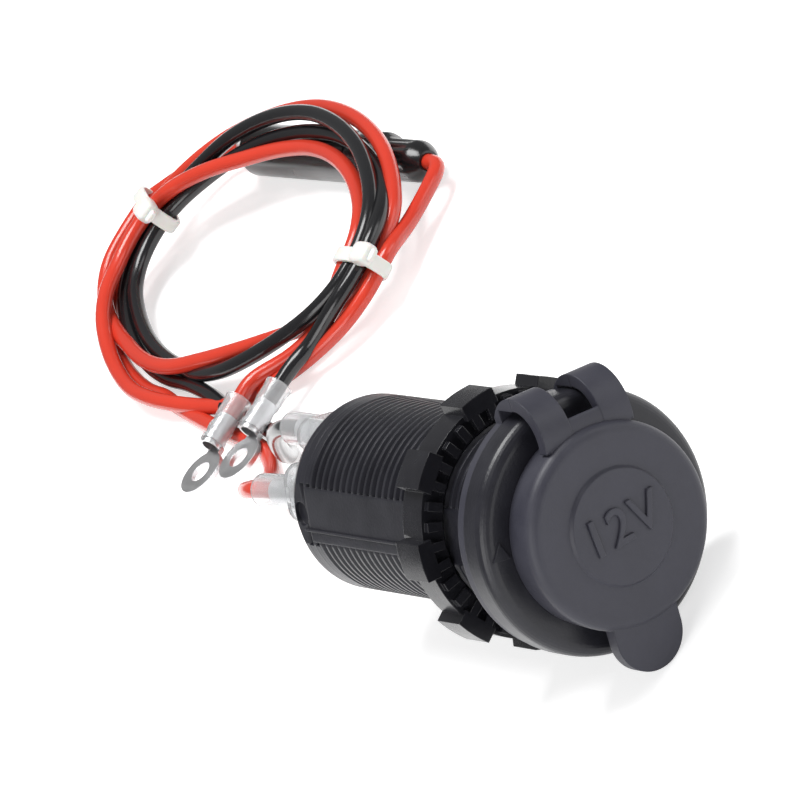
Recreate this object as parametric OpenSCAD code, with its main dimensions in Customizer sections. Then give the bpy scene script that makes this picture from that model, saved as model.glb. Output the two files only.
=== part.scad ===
// Panel-mounted 12 volt power socket with a hinged rubber cap and its bundled supply leads.
// The socket's axis lies along Y with the face towards -Y, and the origin is the middle of the panel face.

/* [Flange and barrel] */
// Outside diameter of the front flange
flange_d = 37.6; // [34:0.2:40]
// Thickness of the front flange
flange_t = 5.2; // [3.5:0.1:6]
// Depth of the rounded front edge of the flange
flange_round = 1.8; // [1:0.1:2.5]
// Diameter over the ribs of the barrel
barrel_d = 28.4; // [27.6:0.1:29]
// Length of the barrel behind the panel face
barrel_l = 55.5; // [50:0.5:58]
// Spacing of the barrel's ribs
rib_pitch = 1.7; // [1.5:0.1:3]
// Height of the barrel's ribs
rib_h = 0.7; // [0.5:0.1:1]
// Length of the plain collar where the panel sits
collar_l = 3; // [2:0.5:5]
// Depth of the chamfer at the barrel's rear end
rear_chamfer = 1.3; // [0.8:0.1:2]

/* [Plug well] */
// Bore that takes the plug
bore_d = 21; // [20.8:0.1:21.4]
// Depth of the well below the flange's front face
well_l = 42.4; // [38:0.2:44]
// Wall of the metal contact sleeve
sleeve_t = 0.5; // [0.4:0.1:0.7]
// Thickness of the insulator at the bottom of the well
insulator_t = 2.5; // [2:0.1:3]
// Thickness of the web that closes the well
web_t = 3.4; // [2.5:0.1:4]
// Diameter of the cavity behind the web
cavity_d = 24.4; // [24.2:0.1:24.6]

/* [Gasket and nut] */
// Thickness of the rubber gasket behind the flange
gasket_t = 1.6; // [1:0.1:2.5]
// Distance from the flange's edge in to the gasket's edge
gasket_inset = 0.3; // [0.1:0.1:1.8]
// Distance from the panel face to the nut
nut_gap = 10.2; // [4:0.2:20]
// Width of the nut along the barrel
nut_w = 6; // [5:0.5:8]
// Outside diameter of the nut's ring
nut_d = 35.6; // [34:0.1:37]
// Diameter over the nut's lugs
lug_d = 38.6; // [37.8:0.1:42]
// Number of lugs
lug_n = 9; // [6:1:12]
// Width of each lug
lug_w = 5.6; // [4:0.1:7]
// Number of teeth on the nut's front face
tooth_n = 36; // [18:1:48]
// Height of the teeth
tooth_h = 0.9; // [0.5:0.1:1.2]

/* [Cap] */
// Diameter of the rubber cap
cap_d = 29.4; // [26:0.1:30]
// Height of the cap above the flange
cap_h = 6.2; // [4:0.1:7]
// Rounding of the cap's front edge
cap_round = 1.6; // [1:0.1:2]
// Diameter of the raised disc in the middle of the cap
disc_d = 17; // [14:0.1:18]
// Height of the raised disc
disc_h = 0.5; // [0.3:0.1:0.8]
// Diameter of the cap's plug
plug_d = 20; // [19.6:0.1:20.2]
// Length of the plug below the flange's front face
plug_l = 6.9; // [4:0.1:9]
// Distance from the axis to the centre of the tab's round end
tab_reach = 15.9; // [14:0.1:18]
// Width of the pull tab
tab_w = 10.8; // [8:0.1:12]
// Thickness of the pull tab
tab_t = 2.2; // [1.5:0.1:3]
// Distance between the middles of the two hinge straps
strap_spacing = 10; // [8:0.1:12]
// Width of each hinge strap
strap_w = 4.8; // [3:0.1:5]
// Thickness of the hinge straps
strap_t = 1.8; // [1.2:0.1:2.2]

/* [Terminals] */
// Width of the blade terminals
blade_w = 6.3; // [6.3]
// Thickness of the blade terminals
blade_t = 0.8; // [0.8]
// Length of the clear boots
boot_l = 22; // [20:1:25]
// Diameter of the ring terminals' eyes
eye_d = 3.7; // [3.5:0.1:4]
// Outside diameter of the ring terminals
eyelet_d = 8; // [7:0.1:9]
// Length of the clear sleeves on the ring terminals
crimp_sleeve_l = 8.5; // [7:0.5:10]

/* [Leads] */
// Outside diameter of the leads
lead_d = 2.6; // [2.4:0.1:2.8]
// Half the width of the oval hank
hank_half_w = 27; // [25:0.5:29]
// Half the length of the oval hank
hank_half_l = 41; // [39:0.5:44]
// Outside radius of the hank's two ends
hank_end_r = 19; // [17:0.5:21]
// Width of the bundle of leads in the hank
hank_band = 9; // [8:0.5:9.5]
// Angle at which the hank leans on the fuse holder
hank_lean = 10.3; // [9.5:0.1:11]

/* [Fuse holder] */
// Outside diameter of the fuse holder
holder_d = 8.6; // [8:0.1:9]
// Length of the fuse holder over its tapered tails
holder_l = 58; // [54:1:64]
// Length of the fuse holder's cap
holder_cap_l = 20; // [18:0.5:24]
// Diameter of the glass fuse
fuse_d = 5.2; // [5:0.1:5.2]
// Length of the glass fuse
fuse_l = 20; // [20]

/* [Cable ties] */
// Width of the cable ties
tie_w = 2.5; // [2:0.1:3.6]
// Thickness of the cable ties
tie_t = 1.1; // [0.9:0.1:1.4]

/* [Hidden] */
$fn = 96;

// Clearances
fit_gap = 0.05;
eps = 0.01;

// Places along the socket's axis, with the panel face at 0 and the front positive
face_z = gasket_t + flange_t;
well_floor_z = face_z - well_l;
insulator_back_z = well_floor_z - insulator_t;
sleeve_base_z = insulator_back_z - sleeve_t;
web_back_z = sleeve_base_z - web_t;
sleeve_front_z = face_z - 1.6;
sleeve_r = bore_d / 2 + sleeve_t;
floor_z = -lug_d / 2;

// Turns about the socket's axis, counted anticlockwise from straight up as seen from the front
hinge_turn = -31;
flat_turn = 52;
lug_turn = 180;
mark_turn = 54;

// Gasket's outside diameter
gasket_d = flange_d - 2 * gasket_inset;

// Barrel flats, notch and front mark
flat_half = barrel_d / 2 - rib_h;
notch_r = 1.8;
notch_depth = 0.7;
seam_w = 0.4;
seam_h = 0.25;
mark_size = 1.7;
mark_h = 0.3;
mark_r = 16.2;

// Cap hinge, on the crown of the straps
arch_r = 6.3;
arch_centre_y = flange_d / 2 + 0.3 + strap_t - arch_r;
arch_centre_z = face_z - 1.4;
cap_back_z = face_z + fit_gap;
cap_face_z = face_z + cap_h;
plug_wall = 1.7;
bead_h = 1;

// Ring nut thread clearance
nut_bore_r = barrel_d / 2 + 0.08;
tooth_w = 1.3;

// Terminals
rivet_r = 1.45;
rivet_hole_r = 1.5;
rivet_eye_r = 3.6;
boss_r = 5;
blade_bend_y = 4;
blade_tilt = 9;
blade_l = 16;
positive_x = 1;
negative_x = 8.6;
negative_y = 2;
negative_tip_z = web_back_z - blade_l;
crimp_r = 1.75;
boot_wide = 8.8;
boot_thick = 5.2;
boot_wall = 0.5;
boot_neck_r = 2.5;

// Ring terminals: where each sleeve starts, and the turn of the terminal about Z
red_terminal_at = [21.4, 139];
red_terminal_turn = 188;
black_terminal_at = [25, 130.6];
black_terminal_turn = 186;
terminal_t = 0.8;
crimp_r_out = 1.7;
crimp_sleeve_r = 2.1;
terminal_axis_z = floor_z + lead_d + crimp_sleeve_r;
eyelet_x = crimp_sleeve_l + eyelet_d / 2 + 0.9;
crimp_end_x = crimp_sleeve_l + 0.7;

// Lead hank, leaning on the fuse holder about its left edge, which lies on the floor
hank_edge_x = 21.3;
hank_y = 163;
hank_h = 2 * lead_d;

// The oval's four arcs: where its end arcs are centred, the radius of its side arcs, and where they meet
hank_end_y = hank_half_l - hank_end_r;
hank_side_r = (pow(hank_half_w, 2) + pow(hank_end_y, 2) - pow(hank_end_r, 2)) / (2 * (hank_half_w - hank_end_r));
hank_meet = asin(hank_end_y / (hank_side_r - hank_end_r));

// Fuse holder, lying on the floor under the hank's right side
holder_r = holder_d / 2;
holder_x = hank_edge_x + (holder_r * (1 + cos(hank_lean)) + 0.15) / sin(hank_lean);
holder_y = 135;
holder_z = floor_z + holder_r;
tail_l = 5;
tail_r = 2.2;
wire_hole_r = lead_d / 2 + 0.08;
neck_r = 3.3;
neck_z = 13.3;
peg_z = 16;
peg_r = 0.5;
peg_reach = 3.8;
fuse_z = 22;
contact_l = 2;
spring_wire = 0.5;
spring_turns = 8;
spring_z0 = 8;

// Cable ties, in the hank's own plane
tie_far_x = 33;
tie_near_x = 28.5;
tie_gap = 0.1;
tie_head = [4.2, 5, 3.2];

// Routes of the leads, points chosen by hand
red_socket_route = [
    [-5.4, 62.5, 5.5], [-6.4, 70.5, 6.3], [-6.6, 75, 6], [-5.4, 81, 3.7], [-3, 88, 0], [0, 95, -4.2],
    [2.8, 102, -8.4], [5.6, 109, -12.4], [8.6, 116, -15.8], [12, 122, -17.6], [15, 128, -18],
    [16.3, 133.6, -18], [17, 139.4, -18], [17.8, 145.2, -18], [18.7, 151, -18],
    [19.8, 157, -18], [21, 163, -17.9], [22.6, 169, -17.4], [25, 175, -16.7]
];
black_socket_route = [
    [3.7, 62.5, 8], [3.7, 70.5, 8], [3.8, 75, 7.6], [4.4, 81, 5.4], [5.6, 88, 1.6], [7.2, 95, -2.9],
    [9, 102, -7.6], [11, 108.6, -11.8], [13.2, 114.6, -15.2], [15.4, 120, -17.4], [17.3, 125, -18],
    [18.7, 130.4, -18], [19.7, 136, -18], [20.6, 142, -18], [21.8, 148, -17.8], [23.4, 154, -17.3],
    [25.5, 160, -16.6]
];
red_supply_route = [[16.5, 138.3, -14.6], [21.4, 139, -14.6], [27.4, 139.8, -14.9]];
black_supply_route = [[20.1, 130.1, -14.6], [25, 130.6, -14.6], [32.6, 131.4, -14.9]];
fuse_far_route = [
    [holder_x, holder_y + 43.5, holder_z], [holder_x, holder_y + 51, holder_z], [holder_x, holder_y + 59.5, holder_z],
    [69.5, 198.6, -14.5], [67.4, 201.4, -13.6], [64, 202.4, -12.3], [60.2, 201.4, -11.1], [56.8, 199.2, -10.3]
];
fuse_near_route = [
    [holder_x, holder_y + 6.5, holder_z], [holder_x, holder_y + 3, holder_z], [holder_x, holder_y - 1.2, holder_z],
    [69.1, 131.3, -14.9], [67, 128.9, -14.7], [63.6, 127, -14.4], [59.4, 125.4, -13.6],
    [55, 124.6, -12.6], [50.6, 124.4, -12.2]
];

function arc_points(cx, cy, r, a0, a1, n) =
    [for (i = [0 : n]) let (a = a0 + (a1 - a0) * i / n) [cx + r * cos(a), cy + r * sin(a)]];

function unit(v) = v / norm(v);

// Direction of a route at each of its points
function along(route, i) =
    unit(route[min(i + 1, len(route) - 1)] - route[max(i - 1, 0)]);

function ring_at(centre, dir, r, sides) =
    let (side = unit(cross(dir, abs(dir[2]) < 0.9 ? [0, 0, 1] : [1, 0, 0])), up = cross(side, dir))
    [for (k = [0 : sides - 1]) let (a = 360 * (k + 0.5) / sides) centre + r * (cos(a) * side + sin(a) * up)];

// A round tube along a route, closed at both ends
module swept_tube(route, r, sides = 8) {
    n = len(route);
    rings = [for (i = [0 : n - 1]) each ring_at(route[i], along(route, i), r, sides)];
    walls = [for (i = [0 : n - 2], k = [0 : sides - 1])
        let (j = (k + 1) % sides, a = i * sides, b = a + sides)
        each [[a + k, a + j, b + j], [a + k, b + j, b + k]]];
    first_end = [[for (k = [sides - 1 : -1 : 0]) k]];
    last_end = [[for (k = [0 : sides - 1]) (n - 1) * sides + k]];
    polyhedron(points = rings, faces = concat(walls, first_end, last_end));
}

// Places its children on the socket's axis: their +Z is the front, +Y is up
module on_axis() rotate([90, 0, 0]) children();

module on_hinge() on_axis() rotate([0, 0, hinge_turn]) children();

module on_flats() on_axis() rotate([0, 0, flat_turn]) children();

module tube(r_out, r_in, z0, z1) {
    translate([0, 0, z0]) difference() {
        cylinder(r = r_out, h = z1 - z0);
        translate([0, 0, -1]) cylinder(r = r_in, h = z1 - z0 + 2);
    }
}

// Solid of revolution between two heights whose radius runs from r0 to r1
module frustum(r0, r1, z0, z1) {
    rotate_extrude() polygon([[0, z0], [r0, z0], [r1, z1], [0, z1]]);
}

module slot_shape(wide, thick) {
    square([wide - thick, thick], center = true);
    for (side = [-1, 1]) translate([side * (wide - thick) / 2, 0]) circle(d = thick, $fn = 32);
}

module flange_shape() {
    r = flange_d / 2;
    polygon(concat(
        [[0, gasket_t], [r - 0.4, gasket_t], [r, gasket_t + 0.4]],
        arc_points(r - flange_round, face_z - flange_round, flange_round, 0, 90, 6),
        [[0, face_z]]
    ));
}

// Outline of the barrel, with ribs of trapezoid section from the collar to the rear chamfer
module barrel_shape() {
    r = barrel_d / 2;
    root = r - rib_h;
    rib_n = floor((barrel_l - collar_l - 2.4) / rib_pitch);
    ribs = [for (i = [0 : rib_n - 1]) let (z = -collar_l - i * rib_pitch) each [
        [r, z], [root, z - rib_pitch * 0.2], [root, z - rib_pitch * 0.5], [r, z - rib_pitch * 0.7]
    ]];
    polygon(concat(
        [[0, gasket_t + eps], [r, gasket_t + eps]],
        ribs,
        [[r, -barrel_l + 2 * rear_chamfer], [r - rear_chamfer, -barrel_l], [0, -barrel_l]]
    ));
}

module socket_housing() {
    color("#26262a") on_axis() difference() {
        union() {
            rotate_extrude() flange_shape();
            intersection() {
                rotate_extrude() barrel_shape();
                rotate([0, 0, flat_turn]) union() {
                    translate([-flange_d, -flat_half, -barrel_l - 1])
                        cube([2 * flange_d, 2 * flat_half, barrel_l - collar_l + 1]);
                    translate([0, 0, -collar_l]) cylinder(d = flange_d, h = collar_l + face_z);
                }
            }
            rotate([0, 0, flat_turn]) translate([-2.5, flat_half - 0.5, 1 - barrel_l + 2 * rear_chamfer])
                cube([seam_w, 0.5 + seam_h, barrel_l - nut_gap - nut_w - 3]);
            rotate([0, 0, mark_turn]) translate([0, mark_r, face_z - eps])
                linear_extrude(mark_h) circle(r = mark_size, $fn = 3);
        }
        well_cut();
        rear_cut();
        rotate([0, 0, flat_turn]) translate([0, flat_half + 1, -barrel_l + notch_r * 1.6]) rotate([90, 0, 0])
            cylinder(r = notch_r, h = 1 + notch_depth, $fn = 48);
    }
}

module well_cut() {
    hole_r = sleeve_r + fit_gap;
    rotate_extrude() polygon([
        [0, sleeve_base_z], [hole_r, sleeve_base_z], [hole_r, sleeve_front_z],
        [hole_r + 1.3, face_z + eps], [0, face_z + 1]
    ]);
}

module rear_cut() {
    translate([0, 0, -barrel_l - 1]) cylinder(d = cavity_d, h = barrel_l + 1 + web_back_z);
    translate([0, 0, web_back_z - 1]) cylinder(r = boss_r + fit_gap, h = web_t + 2);
    rotate([0, 0, flat_turn]) translate([negative_x, negative_y, web_back_z + web_t / 2])
        cube([blade_t + 2 * fit_gap, blade_w + 2 * fit_gap, web_t + 1], center = true);
}

module contact_sleeve() {
    color("#b9bcc0") on_axis() {
        tube(sleeve_r, bore_d / 2, sleeve_base_z, sleeve_front_z);
        tube(sleeve_r - eps, bore_d / 2 - 2.5, sleeve_base_z, insulator_back_z);
    }
}

module well_insulator() {
    color("#3a2a20") on_axis() difference() {
        union() {
            translate([0, 0, insulator_back_z]) cylinder(r = bore_d / 2 - fit_gap, h = insulator_t);
            translate([0, 0, web_back_z]) cylinder(r = boss_r, h = web_t + sleeve_t + eps);
        }
        translate([0, 0, web_back_z - 1]) cylinder(r = rivet_hole_r, h = well_l, $fn = 48);
    }
}

module centre_contact() {
    z = well_floor_z;
    color("#c9a24a") on_axis() rotate_extrude() polygon([
        [rivet_hole_r, z + 1.5], [rivet_hole_r, z + 2.1], [2.9, z + 2.1], [5, z + 0.5],
        [5, z], [4.1, z], [2.6, z + 1.5]
    ]);
}

module contact_rivet() {
    head_z = well_floor_z + 2.1;
    tail_z = web_back_z - blade_t;
    color("#c9a24a") on_axis() {
        translate([0, 0, tail_z - 0.3]) cylinder(r = rivet_r, h = head_z - tail_z + 0.6, $fn = 48);
        frustum(2.6, 1.8, head_z, head_z + 0.8);
        frustum(1.7, 2.4, tail_z - 0.7, tail_z);
    }
}

// Rivet eye on the insulator's boss, then a strip bent back out of the barrel
module positive_blade() {
    tip = [blade_bend_y + blade_l * sin(blade_tilt), web_back_z - blade_l * cos(blade_tilt)];
    across = [blade_t * cos(blade_tilt), blade_t * sin(blade_tilt)];
    color("#c4c6ca") on_flats() difference() {
        union() {
            translate([0, 0, web_back_z - blade_t]) cylinder(r = rivet_eye_r, h = blade_t, $fn = 48);
            translate([positive_x - blade_w / 2, 0, 0]) rotate([90, 0, 90]) linear_extrude(blade_w) polygon([
                [0, web_back_z - blade_t], [0, web_back_z], [blade_bend_y + blade_t / cos(blade_tilt), web_back_z],
                tip + across, tip, [blade_bend_y + blade_t * tan(blade_tilt), web_back_z - blade_t]
            ]);
        }
        translate([0, 0, web_back_z - 2 * blade_t]) cylinder(r = rivet_hole_r, h = 4 * blade_t, $fn = 48);
    }
}

module negative_blade() {
    color("#c4c6ca") on_flats()
        translate([negative_x - blade_t / 2, negative_y - blade_w / 2, negative_tip_z])
            cube([blade_t, blade_w, sleeve_base_z - negative_tip_z]);
}

module cap_gasket() {
    color("#2b2b2e") on_hinge() {
        tube(gasket_d / 2, barrel_d / 2 + 0.1, 0, gasket_t);
        for (side = [-1, 1]) strap(side, 0, arch_centre_z - fit_gap / 2) {
            translate([flange_d / 2 + 0.2, -1]) square([2 * arch_r, 4 * arch_r]);
            translate([gasket_d / 2 - 2, -1]) square([2 * arch_r, gasket_t + 1]);
        }
    }
}

// One hinge strap: the part of its arch between two heights that lies in the child shapes
module strap(side, z0, z1) {
    translate([side * strap_spacing / 2 - strap_w / 2, 0, 0]) rotate([90, 0, 90]) linear_extrude(strap_w)
        intersection() {
            translate([arch_centre_y, arch_centre_z]) circle(r = arch_r);
            translate([0, z0]) square([flange_d, z1 - z0]);
            union() children();
        }
}

module ring_nut() {
    back_z = -nut_gap - nut_w;
    color("#232326") on_axis() {
        difference() {
            union() {
                translate([0, 0, back_z]) cylinder(d = nut_d, h = nut_w - tooth_h);
                intersection() {
                    translate([0, 0, back_z]) cylinder(d = lug_d, h = nut_w);
                    for (i = [0 : lug_n - 1]) rotate([0, 0, lug_turn + i * 360 / lug_n])
                        translate([-lug_w / 2, nut_d / 2 - 1, back_z]) cube([lug_w, 8, nut_w]);
                }
                intersection() {
                    tube(nut_d / 2 - 0.5, nut_bore_r + 0.6, back_z + nut_w - tooth_h - eps, -nut_gap);
                    for (i = [0 : tooth_n - 1]) rotate([0, 0, (i + 0.5) * 360 / tooth_n])
                        translate([-tooth_w / 2, nut_bore_r, back_z]) cube([tooth_w, 6, nut_w]);
                }
            }
            translate([0, 0, back_z - 1]) cylinder(r = nut_bore_r, h = nut_w + 2);
        }
    }
}

module cap() {
    color("#323236") on_hinge() {
        rotate_extrude() cap_shape();
        translate([0, 0, cap_face_z - 0.6 - tab_t]) linear_extrude(tab_t) tab_shape();
        for (side = [-1, 1]) strap(side, arch_centre_z + fit_gap / 2, cap_face_z) difference() {
            translate([cap_d / 2 - 1.6, 0]) square([2 * arch_r, 4 * arch_r]);
            translate([arch_centre_y, arch_centre_z]) circle(r = arch_r - strap_t);
        }
    }
}

module cap_shape() {
    r = cap_d / 2;
    plug_r = plug_d / 2;
    plug_end = face_z - plug_l;
    polygon(concat(
        [[0, cap_face_z + disc_h], [disc_d / 2 - 0.4, cap_face_z + disc_h], [disc_d / 2, cap_face_z]],
        arc_points(r - cap_round, cap_face_z - cap_round, cap_round, 90, 0, 6),
        [[r - 0.3, cap_back_z], [plug_r, cap_back_z], [plug_r, face_z - 1], [plug_r + 0.25, face_z - 1 - bead_h / 2],
         [plug_r, face_z - 1 - bead_h], [plug_r, plug_end + 1.5], [plug_r - 0.8, plug_end],
         [plug_r - plug_wall, plug_end], [plug_r - plug_wall, cap_face_z - 3], [0, cap_face_z - 3]]
    ));
}

module tab_shape() {
    translate([0, -tab_reach]) circle(d = tab_w, $fn = 64);
    translate([-tab_w / 2, -tab_reach]) square([tab_w, tab_reach - cap_d / 2 + 3]);
}

// Female connector on a blade whose tip is at 0, with its crimp barrel towards -Z
module connector() {
    difference() {
        translate([-3.5, -1.2, -1]) cube([7, 2.4, 8]);
        translate([-blade_w / 2 - fit_gap, -blade_t / 2 - fit_gap, 0])
            cube([blade_w + 2 * fit_gap, blade_t + 2 * fit_gap, 9]);
        translate([-1.2, 0, 0]) cube([2.4, 3, 9]);
        for (side = [-1, 1]) translate([side * 4.4, 1.4, -2]) rotate([0, 0, 45]) cube([2, 2, 20], center = true);
    }
    translate([-1.6, -0.3, -4.5]) cube([3.2, 0.6, 4]);
    tube(crimp_r, lead_d / 2 + 0.02, -10, -4, $fn = 48);
}

module boot() {
    shoulder_z = -4.6;
    difference() {
        union() {
            translate([0, 0, shoulder_z - boot_wall]) linear_extrude(8.5 - shoulder_z + boot_wall)
                slot_shape(boot_wide, boot_thick);
            translate([0, 0, 8.5 - boot_l]) cylinder(r = boot_neck_r, h = boot_l - 10, $fn = 48);
        }
        translate([0, 0, shoulder_z]) linear_extrude(boot_l)
            slot_shape(boot_wide - 2 * boot_wall, boot_thick - 2 * boot_wall);
        translate([0, 0, -boot_l]) cylinder(r = boot_neck_r - boot_wall, h = 1.2 * boot_l, $fn = 48);
    }
}

module on_positive_blade() {
    on_flats() translate([
        positive_x, blade_bend_y + blade_l * sin(blade_tilt) + blade_t / 2 * cos(blade_tilt),
        web_back_z - blade_l * cos(blade_tilt) + blade_t / 2 * sin(blade_tilt)
    ]) rotate([blade_tilt, 0, 0]) children();
}

module on_negative_blade() {
    on_flats() translate([negative_x, negative_y, negative_tip_z]) rotate([0, 0, 90]) children();
}

module positive_connector() color("#c8c9cc") on_positive_blade() connector();

module negative_connector() color("#c8c9cc") on_negative_blade() connector();

module positive_boot() color("#e8ecef", 0.6) on_positive_blade() boot();

module negative_boot() color("#e8ecef", 0.6) on_negative_blade() boot();

module red_socket_lead() color("#e23b25") swept_tube(red_socket_route, lead_d / 2);

module black_socket_lead() color("#1f1f22") swept_tube(black_socket_route, lead_d / 2);

module red_supply_lead() color("#e23b25") swept_tube(red_supply_route, lead_d / 2);

module black_supply_lead() color("#1f1f22") swept_tube(black_supply_route, lead_d / 2);

module red_fuse_lead_far() color("#e23b25") swept_tube(fuse_far_route, lead_d / 2);

module red_fuse_lead_near() color("#e23b25") swept_tube(fuse_near_route, lead_d / 2);

// The hank's own plane: X runs up the lean from the edge on the floor, Y along the hank
module in_hank_plane() translate([hank_edge_x, hank_y, floor_z]) rotate([0, -hank_lean, 0]) children();

// Oval of two side arcs and two end arcs, drawn in from the hank's outer edge
module hank_outline(inset) {
    side_r = hank_side_r - inset;
    intersection() {
        translate([hank_half_w - hank_side_r, 0]) circle(r = side_r, $fn = 192);
        translate([hank_side_r - hank_half_w, 0]) circle(r = side_r, $fn = 192);
        square([2 * hank_half_w, 2 * side_r * sin(hank_meet)], center = true);
    }
    for (side = [-1, 1]) translate([0, side * hank_end_y]) circle(r = hank_end_r - inset);
}

module lead_hank() {
    color("#c23a2a") in_hank_plane() translate([hank_half_w, 0, 0]) linear_extrude(hank_h) difference() {
        hank_outline(0);
        hank_outline(hank_band);
    }
}

// A tie round the bundle at one end of the hank: side is 1 at the far end and -1 at the near end
module cable_tie(x, side) {
    mid_r = hank_end_r - hank_band / 2;
    turn = asin((x - hank_half_w) / mid_r);
    // The slack takes up the bundle's curve across the tie's width
    slack = tie_gap + pow(tie_w / 2, 2) / (2 * (hank_end_r - hank_band));
    inside = hank_band + 2 * slack;
    color("#f0efe9") in_hank_plane()
        translate([x, side * (hank_end_y + mid_r * cos(turn)), hank_h / 2]) rotate([0, 0, -side * turn]) {
            difference() {
                cube([tie_w, inside + 2 * tie_t, hank_h + 2 * tie_gap + 2 * tie_t], center = true);
                cube([tie_w + 1, inside, hank_h + 2 * tie_gap], center = true);
            }
            translate([0, side * 2, (hank_h + tie_head[2]) / 2 + tie_gap]) cube(tie_head, center = true);
        }
}

module cable_tie_far() cable_tie(tie_far_x, 1);

module cable_tie_near() cable_tie(tie_near_x, -1);

// Places its children at a ring terminal: +X points along the terminal, Z is up
module at_terminal(place, turn)
    translate([place[0], place[1], terminal_axis_z]) rotate([0, 0, turn]) children();

module ring_terminal() {
    translate([0, 0, -crimp_r_out]) linear_extrude(terminal_t) difference() {
        union() {
            translate([eyelet_x, 0]) circle(d = eyelet_d, $fn = 64);
            translate([crimp_sleeve_l + 0.1, -1.6]) square([eyelet_x - crimp_sleeve_l - 2, 3.2]);
        }
        translate([eyelet_x, 0]) circle(d = eye_d, $fn = 64);
    }
    rotate([0, 90, 0]) tube(crimp_r_out, lead_d / 2 + 0.02, 3.6, crimp_end_x, $fn = 48);
}

module ring_sleeve() rotate([0, 90, 0]) tube(crimp_sleeve_r, crimp_r_out + 0.03, 0, crimp_sleeve_l, $fn = 48);

module red_ring_terminal() color("#cfd0d2") at_terminal(red_terminal_at, red_terminal_turn) ring_terminal();

module black_ring_terminal() color("#cfd0d2") at_terminal(black_terminal_at, black_terminal_turn) ring_terminal();

module red_ring_sleeve() color("#eef0f2", 0.6) at_terminal(red_terminal_at, red_terminal_turn) ring_sleeve();

module black_ring_sleeve() color("#eef0f2", 0.6) at_terminal(black_terminal_at, black_terminal_turn) ring_sleeve();

// Places its children on the fuse holder's axis: +Z runs from the cap's tail to the body's tail
module on_holder() translate([holder_x, holder_y, holder_z]) rotate([-90, 0, 0]) children();

module fuse_holder_body() {
    shoulder_z = holder_cap_l + 2 * fit_gap;
    color("#242427") on_holder() difference() {
        union() {
            translate([0, 0, neck_z]) cylinder(r = neck_r, h = holder_l / 2 - neck_z, $fn = 64);
            translate([0, 0, shoulder_z]) cylinder(r = holder_r, h = holder_l - tail_l - shoulder_z, $fn = 64);
            frustum(holder_r, tail_r, holder_l - tail_l - eps, holder_l);
            for (side = [-1, 1]) translate([0, 0, peg_z]) rotate([0, side * 90, 0])
                cylinder(r = peg_r, h = peg_reach, $fn = 24);
        }
        translate([0, 0, neck_z - 1]) cylinder(d = fuse_d + 0.3, h = fuse_z + fuse_l + contact_l - neck_z + 1, $fn = 64);
        translate([0, 0, neck_z]) cylinder(r = wire_hole_r, h = holder_l, $fn = 48);
    }
}

module fuse_holder_cap() {
    groove_r = peg_reach + fit_gap;
    color("#242427") on_holder() difference() {
        union() {
            frustum(tail_r, holder_r, 0, tail_l + eps);
            translate([0, 0, tail_l]) cylinder(r = holder_r, h = holder_cap_l - tail_l, $fn = 64);
        }
        translate([0, 0, -1]) cylinder(r = wire_hole_r, h = holder_cap_l, $fn = 48);
        translate([0, 0, spring_z0 - contact_l]) cylinder(d = fuse_d + 0.3, h = holder_cap_l, $fn = 64);
        translate([0, 0, neck_z - 0.3]) cylinder(r = neck_r + fit_gap, h = holder_cap_l, $fn = 64);
        translate([0, 0, peg_z - peg_r - fit_gap]) cylinder(r = groove_r, h = 2 * (peg_r + fit_gap), $fn = 64);
        rotate([0, 0, 45]) translate([-groove_r, -peg_r - fit_gap, peg_z])
            cube([2 * groove_r, 2 * (peg_r + fit_gap), holder_cap_l]);
        for (i = [0 : 11]) rotate([0, 0, i * 30]) translate([holder_r + 0.25, 0, tail_l + 1.5])
            cylinder(r = 0.5, h = 9, $fn = 24);
    }
}

module glass_fuse() {
    ferrule_l = 5;
    color("#cfd6d8") on_holder() translate([0, 0, fuse_z]) {
        cylinder(r = fuse_d / 2 - 0.25, h = fuse_l, $fn = 48);
        for (z = [0, fuse_l - ferrule_l]) translate([0, 0, z]) cylinder(d = fuse_d, h = ferrule_l, $fn = 48);
    }
}

module fuse_spring() {
    coil_r = 2.2;
    steps = 10;
    n = spring_turns * steps;
    z0 = spring_z0 + spring_wire / 2;
    z1 = fuse_z - spring_wire / 2;
    route = [for (i = [0 : n]) [coil_r * cos(i * 360 / steps), coil_r * sin(i * 360 / steps), z0 + (z1 - z0) * i / n]];
    color("#b8bbc0") on_holder() swept_tube(route, spring_wire / 2, 6);
}

module fuse_contact(z) {
    color("#c9a24a") on_holder() translate([0, 0, z]) cylinder(d = fuse_d, h = contact_l, $fn = 48);
}

module fuse_contact_far() fuse_contact(fuse_z + fuse_l);

module fuse_contact_near() fuse_contact(spring_z0 - contact_l);

socket_housing();
contact_sleeve();
well_insulator();
centre_contact();
contact_rivet();
positive_blade();
negative_blade();
cap_gasket();
ring_nut();
cap();
positive_connector();
negative_connector();
positive_boot();
negative_boot();
red_socket_lead();
black_socket_lead();
lead_hank();
red_supply_lead();
black_supply_lead();
red_ring_terminal();
black_ring_terminal();
red_ring_sleeve();
black_ring_sleeve();
cable_tie_far();
cable_tie_near();
red_fuse_lead_far();
red_fuse_lead_near();
fuse_holder_body();
fuse_holder_cap();
glass_fuse();
fuse_spring();
fuse_contact_far();
fuse_contact_near();
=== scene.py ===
"""A 12 volt panel socket with its hinged rubber cap and tied leads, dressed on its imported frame."""
import math

import bpy
import numpy as np
from mathutils import Matrix, Vector


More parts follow.
